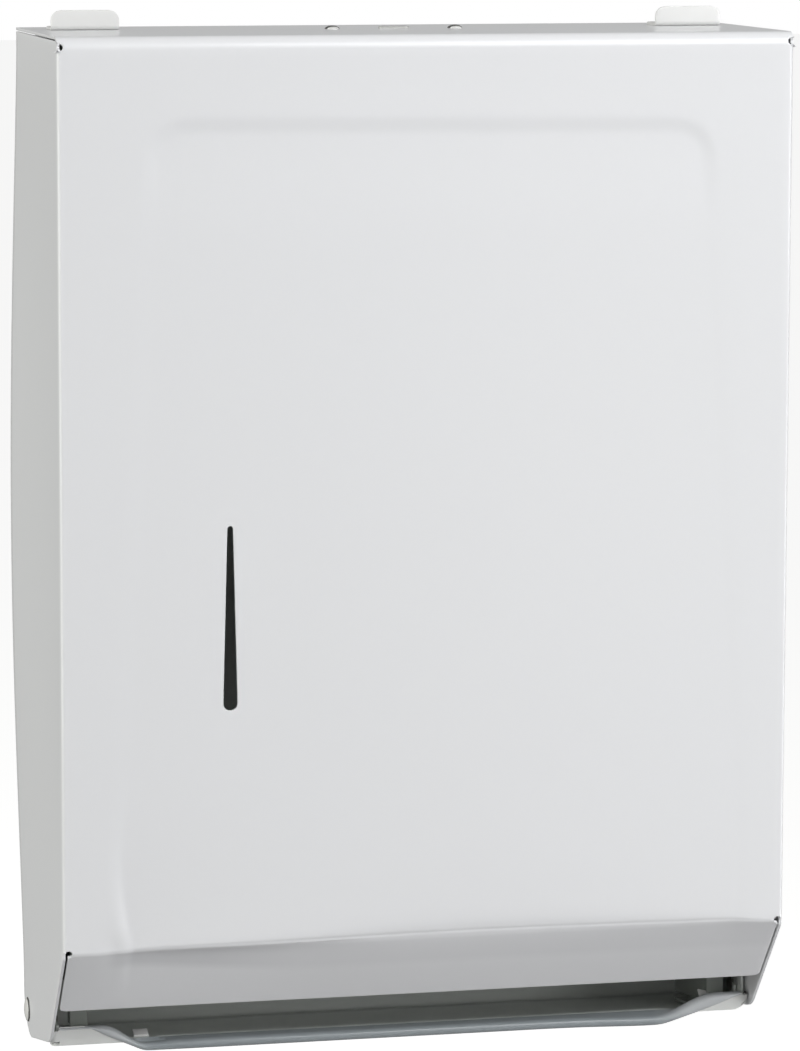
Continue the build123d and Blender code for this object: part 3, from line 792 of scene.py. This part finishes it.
def crestAt(x):  # how far the roll's top lies below the cover's lower bend
    middle, end = tray["crestBelow"]
    side = 1 if x > 0 else -1
    low, high = tray["ends"][side][:2]
    amount, place, width = tray["droop"][side]
    rise = fade(abs(x), low, high - low)
    return middle + (end - middle) * rise + amount * bump(abs(x), place, width) * (1 - rise)


def creaseAt(x):  # the roll's lower edge, which climbs in a straight line to a point at each end
    point, climb = tray["ends"][1 if x > 0 else -1][2:]
    line = tray["crestBelow"][1] + climb * (point - abs(x))
    soft = tray["creaseSoft"]
    sag, place, width = tray["creaseSag"]
    low = tray["creaseBelow"] + (sag * bump(x, place, width) if x > 0 else 0.0)
    rounded = low - soft * math.log(1 + math.exp(min(60.0, (low - line) / soft)))
    return max(rounded, crestAt(x) + 1.0)


def roundIn(past, radius):  # how far a round corner has come in, past its beginning
    return radius - math.sqrt(radius**2 - min(radius, past) ** 2)


def cornerRise(x, half):  # the tray's lower corner is rounded off at the right
    radius = tray["rightCorner"]
    return roundIn(max(0.0, x - (half - radius)), radius)


def traySection(x):  # points from the rear up over the floor to the roll, and how many are floor
    bend, fall = cover["bendZ"], math.tan(math.radians(tray["slope"]))
    radius, rearY = tray["rearRadius"], tray["rearY"]
    turn = math.radians(90 - tray["slope"])

    def floorAt(y):
        return bend - tray["frontBelow"] - (y - tray["frontY"]) * fall

    tangent = radius * math.tan(turn / 2)
    cornerZ = floorAt(rearY)
    points = [(rearY, cornerZ + tray["rearRise"] + 1.0), (rearY, cornerZ + tangent)]
    for i in range(1, 8):
        t = turn * i / 7
        points.append((rearY - radius * (1 - math.cos(t)), cornerZ + tangent - radius * math.sin(t)))
    floorStart = points[-1][0]
    front = tray["frontY"] + cornerRise(x, tray["floorHalf"])
    for i in range(1, 10):
        y = floorStart + (front - floorStart) * i / 9
        points.append((y, floorAt(y)))
    floorRows = len(points)
    crest, crease = bend - crestAt(x), bend - creaseAt(x)
    full = min(1.0, max(0.0, (crest - crease - 1.0) / 2.6))
    reach = tray["rollReach"][0] + (tray["rollReach"][1] - tray["rollReach"][0]) * full
    height = (crest - crease) / (1 - math.sin(tray["rollEnd"]))
    start = math.pi / 2 * (2 - full)
    for i in range(15):
        t = start + (tray["rollEnd"] - start) * i / 14
        depth = math.cos(t) * (reach if math.cos(t) > 0 else tray["rollBack"])
        points.append((tray["rollY"] - depth, crest - height + height * math.sin(t)))
    for i in range(1, 5):
        t = tray["rollEnd"] + (tray["hemEnd"] - tray["rollEnd"]) * i / 4
        points.append((tray["rollY"] - reach * math.cos(t), crest - height + height * math.sin(t)))
    return points, floorRows


def makeTraySheet():
    half = stretch((0, 89, 4.5), (89, tray["floorHalf"], 0.9))
    columns = [-u for u in reversed(half[1:])] + half
    bm = bmesh.new()
    strips = []
    for x in columns:
        points, floorRows = traySection(x)
        strips.append([bm.verts.new((x, y, z)) for y, z in points])
    for left, right in zip(strips, strips[1:]):
        for i in range(len(left) - 1):
            bm.faces.new((left[i], left[i + 1], right[i + 1], right[i]))
    for strip in (strips[0], strips[-1]):  # upright flanges at both ends
        rearZ = strip[0].co.z
        frontZ = cover["bendZ"] - tray["crestBelow"][1]
        tops = []
        for v in strip[:floorRows]:
            t = (v.co.y - tray["rearY"]) / (tray["frontY"] - tray["rearY"])
            tops.append(bm.verts.new((v.co.x, v.co.y, max(rearZ + (frontZ - rearZ) * t, v.co.z))))
        for i in range(1, floorRows - 1):
            bm.faces.new((strip[i], strip[i + 1], tops[i + 1], tops[i]))
    bmesh.ops.remove_doubles(bm, verts=bm.verts, dist=0.02)
    toMetres(bm)
    turnOutward(bm, (0, -0.04, -0.185), (0, 0, 1))
    sheet = makeObject("traySheet", bm, trayEnamel, "cabinet", 50)
    sheet.data.materials.append(panEnamel)
    for face in sheet.data.polygons:  # the floor has the pan's paler enamel
        face.material_index = 1 if face.center.y > -0.0615 else 0
    addSolidify(sheet, 0.95)
    addBevel(sheet, 0.15, 2, 60)
    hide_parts("towel_tray")
    return sheet


def platePoint(a):  # the plate turns back round a small bend at its outer end
    bend = tray["plateBend"]
    flat = tray["plateHalf"] - bend
    if a < flat:
        return a, tray["plateY"]
    t = (a - flat) / bend
    if t < math.pi / 2:
        return flat + bend * math.sin(t), tray["plateY"] + bend * (1 - math.cos(t))
    return tray["plateHalf"], tray["plateY"] + bend + a - flat - bend * math.pi / 2


def makeTrayPlates():  # notched at the top outer corner, with a relief slit along the lower fold
    notch, drop, shoulder = tray["notch"]
    end = tray["plateHalf"] + tray["plateReturn"]
    lines = stretch((96, notch - shoulder, 1.2), (notch - shoulder, notch, 0.24))
    lines += stretch((notch + 0.02, end, 0.28))
    levels = tray["plateLevels"]
    slits = (tray["slit"], tray["slitTurn"])
    corner = tray["plateCorner"]
    bend = cover["bendZ"]
    bm = bmesh.new()
    for side in (-1, 1):
        point = tray["ends"][side][2]
        strips = []
        for a in lines:
            x, y = platePoint(a)
            crease = creaseAt(side * x)
            rounding = roundIn(max(0.0, a - (notch - shoulder)), shoulder)
            top = tray["plateTop"] + (drop if a > notch + 0.01 else rounding)
            top = bend - max(crease - 0.6 if a < point else 0.0, top)
            low = tray["plateBottom"] - roundIn(max(0.0, a - (end - corner)), corner)
            low -= cornerRise(side * x, tray["plateHalf"])
            bottom = bend - max(low, crease if a < point - 11 else 0.0)
            bottom = min(bottom, top - 0.5)
            strip = [bm.verts.new((side * x, y, top + (bottom - top) * t)) for t in levels]
            strips.append(strip + [bm.verts.new((side * x, y + tray["plateHem"], bottom))])
        for a, left, right in zip(lines, strips, strips[1:]):
            for i, level in enumerate(levels[:-1]):
                slit = any(level == at and notch + begin < a < notch + stop for at, begin, stop in slits)
                if not slit:
                    bm.faces.new((left[i], left[i + 1], right[i + 1], right[i]))
            if tray["hem"][0] < a < tray["hem"][1]:  # the lower edge turns back under the floor; this hem is near-black, painted shade seen through the slit
                hem = bm.faces.new((left[-2], left[-1], right[-1], right[-2]))
                hem.material_index = 1
    bmesh.ops.delete(bm, geom=[v for v in bm.verts if not v.link_faces], context="VERTS")
    toMetres(bm)
    turnOutward(bm, (-0.12, -0.0645, -0.18), (0, -1, 0))
    for f in bm.faces:
        if f.calc_center_median().x > 0 and f.normal.y > 0.02:
            f.normal_flip()
    plates = makeObject("trayPlates", bm, plateEnamel, "cabinet", 50)
    plates.data.materials.append(paintedShadowEnamel)
    addSolidify(plates, 0.9)
    addBevel(plates, 0.15, 2, 60)


traySheet = makeTraySheet()
makeTrayPlates()
print("tray rolled:", len(traySheet.data.polygons), "faces")

# light feet of the towel guides, bent up a little from the tray's floor
foot = {
    "spans": {-1: (98.0, 103.6), 1: (117.4, 124.6)},  # inner and outer edge
    "below": {-1: 42.0, 1: 39.5},
    "rise": {-1: (1.5, 1.5), 1: (3.0, 1.3)},  # at the inner and outer edge
    "frontY": -60.0,
    "depth": 4.0,
    "thick": 0.8,
}


def makeFeet():
    bm = bmesh.new()
    for side in (-1, 1):
        inner, outer = foot["spans"][side]
        innerRise, outerRise = foot["rise"][side]
        z = cover["bendZ"] - foot["below"][side]
        front, rear = foot["frontY"], foot["frontY"] + foot["depth"]
        corners = (
            (inner, front, z),
            (outer, front, z),
            (outer, rear, z + outerRise),
            (inner, rear, z + innerRise),
        )
        bm.faces.new([bm.verts.new((side * x, y, h)) for x, y, h in corners])
    toMetres(bm)
    for f in bm.faces:
        f.normal_update()
        if f.normal.z < 0:
            f.normal_flip()
    feet = makeObject("guideFeet", bm, tabEnamel, "cabinet", 40)
    addSolidify(feet, foot["thick"])
    addBevel(feet, 0.2, 2, 50)


makeFeet()
print("guide feet bent")

# hinge rivets with low domed heads over a near-black ring of painted shadow
hinge = {
    "sideX": 136.5,
    "axis": (-11.0, -182.5),
    "shank": 3.0,
    "grip": 4.3,
    "head": 4.4,
    "seam": 0.42,
    "rise": 1.5,
    "rimHeight": 0.35,
    "ring": (0.05, 0.72, 0.07),  # depth, place, width
    "tail": 1.4,
}


def lathe(name, profile, side, material):  # profile of (outward, radius) pairs
    bm = bmesh.new()
    y, z = hinge["axis"]
    points = [bm.verts.new((side * (hinge["sideX"] + out), y + r, z)) for out, r in profile]
    edges = [bm.edges.new(pair) for pair in zip(points, points[1:])]
    bmesh.ops.spin(
        bm,
        geom=points + edges,
        cent=(0, y, z),
        axis=(1, 0, 0),
        angle=math.tau,
        steps=48,
        use_merge=True,
    )
    bmesh.ops.remove_doubles(bm, verts=bm.verts, dist=1e-4)
    toMetres(bm)
    bmesh.ops.recalc_face_normals(bm, faces=bm.faces)
    return makeObject(name, bm, material, "cabinet", 35)


def makeHingeRivet(side, label):
    head, rise, shank, seam = hinge["head"], hinge["rise"], hinge["shank"], hinge["seam"]
    tail = -hinge["grip"] - hinge["tail"]
    profile = []
    depth, place, width = hinge["ring"]
    for i in range(9):
        t = i / 8
        out = rise - (rise - seam - hinge["rimHeight"]) * t**2.4 - depth * bump(t, place, width)
        profile.append((out, head * t * 0.96))
    profile += [
        (seam + 0.15, head),
        (seam, head - 0.12),
        (seam, shank),
        (-hinge["grip"], shank),
        (-hinge["grip"], head),
        (tail + 0.4, head),
        (tail, head - 0.5),
        (tail, 0.0),
    ]
    rivet = lathe(f"hingeRivet{label.capitalize()}", profile, side, rivetEnamel)
    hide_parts(f"hinge_rivet_{label}")
    # near-black ring under each head's rim: painted shadow where the head meets the wall
    inner = shank + 0.1
    ring = [(0.0, inner), (0.0, head + 0.35), (seam - 0.08, head + 0.1), (seam - 0.08, inner)]
    lathe(f"hingePaintedShadow{label.capitalize()}", ring + ring[:1], side, paintedShadowEnamel)


makeHingeRivet(-1, "left")
makeHingeRivet(1, "right")
print("hinge rivets turned")

# pull tabs
tab = {
    "halfWidth": 12.75,
    "middle": 115.75,
    "faceY": -35.2,
    "footY": -20.0,
    "baseZ": 193.0,
    "topZ": 200.4,
    "sheet": 1.2,
    "bend": 1.9,
    "corner": 3.9,
}
footRun = tab["footY"] - tab["faceY"] - tab["bend"]
footArc = tab["bend"] * math.pi / 2


def tabPoint(s):  # along the outer face, from the foot's free end to the upright's top
    if s < footRun:
        return tab["footY"] - s, tab["baseZ"]
    if s < footRun + footArc:
        t = (s - footRun) / tab["bend"]
        return (
            tab["faceY"] + tab["bend"] * (1 - math.sin(t)),
            tab["baseZ"] + tab["bend"] * (1 - math.cos(t)),
        )
    return tab["faceY"], tab["baseZ"] + tab["bend"] + s - footRun - footArc


def makeTab(side, label):
    length = footRun + footArc + tab["topZ"] - tab["baseZ"] - tab["bend"]
    corner = tab["corner"]
    rows = stretch(
        (0, corner, 0.4),
        (corner, footRun, 3.0),
        (footRun, footRun + footArc, 0.4),
        (footRun + footArc, length - corner, 1.0),
        (length - corner, length, 0.35),
    )
    bm = bmesh.new()
    strips = []
    for s in rows:
        inset = corner - min(s, length - s, corner)
        half = tab["halfWidth"] - corner + math.sqrt(max(0.0, corner**2 - inset**2))
        y, z = tabPoint(s)
        strips.append([bm.verts.new((side * tab["middle"] + half * i / 6, y, z)) for i in range(-6, 7)])
    for near, far in zip(strips, strips[1:]):
        for i in range(12):
            bm.faces.new((near[i], near[i + 1], far[i + 1], far[i]))
    toMetres(bm)
    turnOutward(bm, (side * 0.116, -0.0352, 0.2), (0, -1, 0))
    piece = makeObject(f"pullTab{label.capitalize()}", bm, tabEnamel, "cover", 40)
    addSolidify(piece, tab["sheet"])
    addBevel(piece, 0.3, 3, 50)
    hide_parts(f"pull_tab_{label}")


makeTab(-1, "left")
makeTab(1, "right")
print("tabs bent")

# latch rivet heads and the raised rim of the key slot
latchTop = {
    "rivetX": 23.5,
    "dome": (2.45, 1.05, -0.7),  # radius, height, shift along Y
    "shade": (2.8, 1.3, 0.0),  # the same three; this larger dome is near-black, painted shade round the rivet head
    "sweep": math.radians(80),
    "sink": 0.05,
    "rows": 8,
    "turns": 40,
    "rim": ((1.8, 0.0), (1.75, 0.85), (1.3, 0.85), (1.3, -0.8)),  # radius and height pairs
}


def addRings(bm, outlines, closeTop):  # closed outlines joined in order; returns the faces of each band
    rings = [[bm.verts.new(p) for p in outline] for outline in outlines]
    bands = []
    for low, high in zip(rings, rings[1:]):
        pairs = list(zip(low, low[1:] + low[:1], high[1:] + high[:1], high))
        bands.append([bm.faces.new(corners) for corners in pairs])
    if closeTop:
        bands.append([bm.faces.new(rings[-1])])
    return bands


def makeLatchTop():  # each rivet is a pale dome in front of a slightly larger near-black one, which is painted shade
    top, y = cover["topZ"], cover["keyY"]
    rows, turns = latchTop["rows"], latchTop["turns"]
    bm = bmesh.new()
    for x in (-latchTop["rivetX"], latchTop["rivetX"]):
        for index, (radius, height, shift) in enumerate((latchTop["dome"], latchTop["shade"])):
            outlines = []
            for i in range(rows + 1):
                t = latchTop["sweep"] * i / rows
                r, z = radius * math.cos(t), top - latchTop["sink"] + height * math.sin(t)
                turn = [2 * math.pi * k / turns for k in range(turns)]
                outlines.append([(x + r * math.cos(a), y + shift + r * math.sin(a), z) for a in turn])
            for ring in addRings(bm, outlines, True):
                for face in ring:
                    face.material_index = index
    outlines = []
    for r, rise in latchTop["rim"]:
        outline = []
        for side in (1, -1):
            centre = side * cover["keyHalf"]
            for k in range(13):
                a = math.pi * (k / 12 - 0.5) + (0 if side > 0 else math.pi)
                outline.append((centre + r * math.cos(a), y + r * math.sin(a), top + rise))
        outlines.append(outline)
    outer, rim, inner = addRings(bm, outlines, False)
    # the slot's outer wall and rim get the darker rim grey and its inner wall near-black: both painted
    # shade
    for face in outer + rim:
        face.material_index = 2
    for face in inner:
        face.material_index = 1
    toMetres(bm)
    bmesh.ops.recalc_face_normals(bm, faces=bm.faces)
    heads = makeObject("latchTop", bm, rivetEnamel, "cover", 50)
    heads.data.materials.append(paintedShadowEnamel)
    heads.data.materials.append(paintedShadeRimEnamel)


makeLatchTop()
print("latch heads set")

# finishes of the remaining cabinet parts
finishes = {
    "back_pan": panEnamel,
    "towel_guide_left": paintedShadeGuideEnamel,
    "towel_guide_right": paintedShadeGuideEnamel,
    "latch_plate": springSteel,
    "latch_tongue": springSteel,
    "latch_rivets": dullSteel,
    "guide_rivets": dullSteel,
    "tray_rivets": dullSteel,
    "hinge_washer_left": washerSteel,
    "hinge_washer_right": washerSteel,
}
for name, material in finishes.items():
    nodes[name].data.materials.clear()
    nodes[name].data.materials.append(material)
print("finishes placed")

# floor, light and camera
studio = {
    "floorDrop": 0.32,
    "floorColour": (0.80, 0.80, 0.79),
    "floorShade": (0.40, 0.40, 0.41),
    "floorGlow": 0.6,
    "sky": (0.37, 0.41),
}
lamps = {
    "keyLamp": {
        "size": (0.9, 0.9),
        "power": 2.65,
        "place": (0.60, -0.98, 0.87),
        "target": (0.03, -0.05, 0.16),
        "colour": (0.99, 1.0, 1.02),
        "spread": 80,
    },
    "mouthLamp": {
        "size": (0.5, 0.3),
        "power": 3.8,
        "place": (0.98, -1.15, 0.12),
        "target": (0.0, -0.05, -0.17),
    },
    "leftLamp": {
        "size": (0.3, 0.3),
        "power": 1.0,
        "place": (-0.66, -1.3, 0.12),
        "target": (0.02, -0.05, -0.17),
    },
    "sideLamp": {
        "size": (0.4, 0.4),
        "power": 0.25,
        "place": (0.95, -0.45, -0.22),
        "target": (0.13, -0.09, -0.155),
        "spread": 60,
    },
    "fillLamp": {
        "size": (1.2, 1.8),
        "power": 29.0,
        "place": (-2.2, -0.2, 0.4),
        "target": (0, -0.05, 0),
        "colour": (1.0, 1.01, 0.96),
    },
}


def makeFloor():
    bm = bmesh.new()
    bmesh.ops.create_grid(bm, x_segments=1, y_segments=1, size=14)
    low = cadBounds[0].z - studio["floorDrop"]
    bmesh.ops.translate(bm, vec=(0, 4, low), verts=bm.verts)
    mesh = bpy.data.meshes.new("floor")
    bm.to_mesh(mesh)
    bm.free()
    floor = bpy.data.objects.new("floor", mesh)
    bpy.context.scene.collection.objects.link(floor)
    material = bpy.data.materials.new("paleFloor")
    material.use_nodes = True
    tree = material.node_tree
    shader = tree.nodes["Principled BSDF"]
    direct = addNode(tree, "ShaderNodeLightPath").outputs["Is Camera Ray"]
    tone = mixColour(tree, direct, (*studio["floorShade"], 1), (*studio["floorColour"], 1))
    link(tree, tone, shader.inputs["Base Color"])
    shader.inputs["Roughness"].default_value = 0.9
    glow = addNode(tree, "ShaderNodeEmission")
    glow.inputs["Color"].default_value = (1, 1, 1, 1)
    seen = maths(tree, "MULTIPLY", direct, studio["floorGlow"])
    link(tree, seen, glow.inputs["Strength"])
    both = addNode(tree, "ShaderNodeAddShader")
    link(tree, shader.outputs[0], both.inputs[0])
    link(tree, glow.outputs[0], both.inputs[1])
    link(tree, both.outputs[0], tree.nodes["Material Output"].inputs["Surface"])
    mesh.materials.append(material)


def makeLamp(name, plan):
    lamp = bpy.data.lights.new(name, "AREA")
    lamp.spread = math.radians(plan.get("spread", 180))
    lamp.shape = "RECTANGLE"
    lamp.size, lamp.size_y = plan["size"]
    lamp.energy = plan["power"]
    lamp.color = plan.get("colour", (1, 1, 1))
    holder = bpy.data.objects.new(name, lamp)
    holder.location = plan["place"]
    aim = Vector(plan["target"]) - Vector(plan["place"])
    holder.rotation_euler = aim.to_track_quat("-Z", "Y").to_euler()
    bpy.context.scene.collection.objects.link(holder)


def makeWorld():
    world = bpy.data.worlds.new("studio")
    bpy.context.scene.world = world
    world.use_nodes = True
    tree = world.node_tree
    back = tree.nodes["Background"]
    path = addNode(tree, "ShaderNodeLightPath")
    place = addNode(tree, "ShaderNodeTexCoord")
    height = addNode(tree, "ShaderNodeSeparateXYZ")
    link(tree, place.outputs["Generated"], height.inputs[0])
    sky = ramp(tree, height.outputs["Z"], 0.0, 1.0, *studio["sky"])
    level = maths(tree, "MAXIMUM", path.outputs["Is Camera Ray"], sky)
    link(tree, level, back.inputs["Strength"])
    back.inputs["Color"].default_value = (1, 1, 1, 1)


makeFloor()
makeWorld()
for name, plan in lamps.items():
    makeLamp(name, plan)

lens = {
    "place": (-0.378, -1.693, 0.254),
    "yaw": -11.9,
    "pitch": -7.26,
    "focal": 154.9,
    "sensor": 36.0,
    "shift": (0.08, -0.0815),
    "clip": (0.05, 60),
}
cameraData = bpy.data.cameras.new("camera")
cameraData.lens = lens["focal"]
cameraData.sensor_width = lens["sensor"]
cameraData.shift_x, cameraData.shift_y = lens["shift"]
cameraData.clip_start, cameraData.clip_end = lens["clip"]
camera = bpy.data.objects.new("camera", cameraData)
camera.location = lens["place"]
camera.rotation_euler = (math.radians(90 + lens["pitch"]), 0, math.radians(lens["yaw"]))
bpy.context.scene.collection.objects.link(camera)
bpy.context.scene.camera = camera
bpy.context.scene.view_settings.view_transform = "Standard"

print("stage set")
